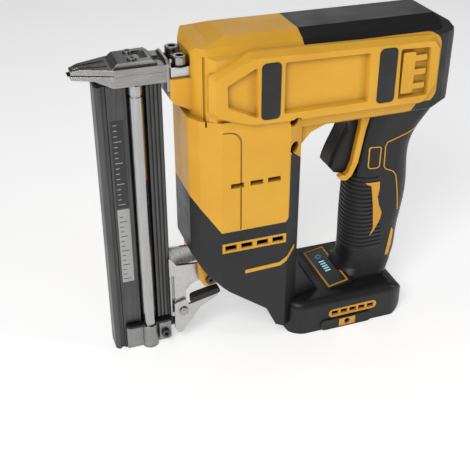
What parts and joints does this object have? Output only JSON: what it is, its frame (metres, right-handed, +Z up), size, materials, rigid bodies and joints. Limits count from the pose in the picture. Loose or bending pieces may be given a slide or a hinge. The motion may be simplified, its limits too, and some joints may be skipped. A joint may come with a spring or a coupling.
{
  "type": "brad nailer",
  "caption": "Cordless finish nailer that drives brads from an upright slide magazine, with a closed-loop pistol grip and a slide-on pack foot.",
  "frame": {"origin": "centre of the bounding box at its bottom, the plane the foot and the magazine stand on", "axes": "+X from the nose to the rear, +Z up; the tool's centre plane is Y = 0 and -Y is its side with the guide tube"},
  "size_m": [0.269, 0.0808, 0.2405],
  "materials": {
    "amber_plastic": "satin, fine moulded grain",
    "charcoal_plastic": "satin, fine moulded grain",
    "soft_rubber": "matt overmoulded rubber",
    "amber_trim": "satin to gloss",
    "panel_film": "gloss window film",
    "plate_steel": "ground and brushed",
    "hard_steel": "polished",
    "black_steel": "black oxide",
    "chrome_screw": "bright plating",
    "anodised_aluminium": "satin anodised extrusion",
    "cast_aluminium": "cast and machined",
    "motor_steel": "zinc plated",
    "contact_brass": "plated",
    "board_green": "solder mask",
    "bumper_rubber": "moulded"
  },
  "bodies": {
    "tool": {"shell_near": "amber_plastic", "shell_far": "amber_plastic", "front_lugs": "amber_plastic", "lower_cover_near": "charcoal_plastic", "lower_cover_far": "charcoal_plastic", "top_cover": "charcoal_plastic", "grip_near": "charcoal_plastic", "grip_far": "charcoal_plastic", "foot_near": "charcoal_plastic", "foot_far": "charcoal_plastic", "pack_rails": "charcoal_plastic", "terminal_block": "charcoal_plastic", "trigger_switch": "charcoal_plastic", "rear_bumper": "soft_rubber", "side_pads": "soft_rubber", "grip_sleeve": "soft_rubber", "grip_inlays": "amber_trim", "foot_vent_frame": "amber_trim", "column_vent_frame": "amber_trim", "column_strip": "amber_trim", "panel_frame": "amber_trim", "hook_plates": "amber_trim", "status_panel": "panel_film", "nose_lower_plate": "plate_steel", "nose_upper_plate": "plate_steel", "nose_back_plate": "plate_steel", "latch_bracket": "plate_steel", "anvil_block": "hard_steel", "lifter_bearing": "hard_steel", "anvil_washers": "black_steel", "nose_screws": "chrome_screw", "anvil_screws": "chrome_screw", "lug_screws": "chrome_screw", "shell_screws": "chrome_screw", "lever_rivet": "chrome_screw", "trigger_pin": "chrome_screw", "magazine_rail": "anodised_aluminium", "drive_cylinder": "anodised_aluminium", "cylinder_cap": "anodised_aluminium", "gear_case": "cast_aluminium", "motor_can": "motor_steel", "terminals": "contact_brass", "hook_inserts": "contact_brass", "control_board": "board_green", "stop_bumper": "bumper_rubber"},
    "contact": {"contact_tip": "hard_steel"},
    "magazine": {"magazine_cover": "anodised_aluminium", "guide_tube": "chrome_screw", "bottom_bracket": "cast_aluminium", "bracket_cap": "charcoal_plastic", "bracket_screw": "chrome_screw", "pusher_spring": "hard_steel"},
    "pusher": {"pusher": "black_steel"},
    "latch": {"latch_lever": "plate_steel", "lever_grip": "soft_rubber"},
    "trigger": {"trigger": "charcoal_plastic"},
    "rotor": {"rotor": "motor_steel"},
    "lifter": {"lifter": "hard_steel"},
    "driver": {"driver_blade": "hard_steel", "piston": "anodised_aluminium"}
  },
  "joints": [
    {"name": "contact_slide", "type": "slide", "parent": "tool", "child": "contact", "axis": [1, 0, 0], "range_m": [0, 0.0015], "stiffness_N_per_m": 400, "springref_m": -0.001},
    {"name": "magazine_slide", "type": "slide", "parent": "tool", "child": "magazine", "axis": [0, 0, -1], "range_m": [0, 0.12]},
    {"name": "pusher_slide", "type": "slide", "parent": "magazine", "child": "pusher", "axis": [0, 0, -1], "range_m": [0, 0.1], "stiffness_N_per_m": 30, "springref_m": -0.02, "deforming": ["pusher_spring"]},
    {"name": "latch_hinge", "type": "hinge", "parent": "tool", "child": "latch", "pos_m": [-0.0676, 0, 0.0285], "axis": [0, -1, 0], "range_deg": [0, 15]},
    {"name": "trigger_hinge", "type": "hinge", "parent": "tool", "child": "trigger", "pos_m": [0.0712, 0, 0.1636], "axis": [0, -1, 0], "range_deg": [0, 8], "stiffness_Nm_per_rad": 0.8, "springref_deg": -5.73},
    {"name": "rotor_turn", "type": "hinge", "parent": "tool", "child": "rotor", "pos_m": [-0.006, 0, 0.1], "axis": [0, 0, 1], "range_deg": [0, 2316]},
    {"name": "lifter_turn", "type": "hinge", "parent": "tool", "child": "lifter", "pos_m": [-0.006, 0, 0.2025], "axis": [0, 1, 0], "range_deg": [0, 193]},
    {"name": "driver_slide", "type": "slide", "parent": "tool", "child": "driver", "axis": [1, 0, 0], "range_m": [0, 0.0438]}
  ],
  "couplings": [
    {"joint": "lifter_turn", "follows": "rotor_turn", "ratio": 0.083333},
    {"joint": "driver_slide", "follows": "rotor_turn", "m_per_rad": 0.0010833}
  ]
}
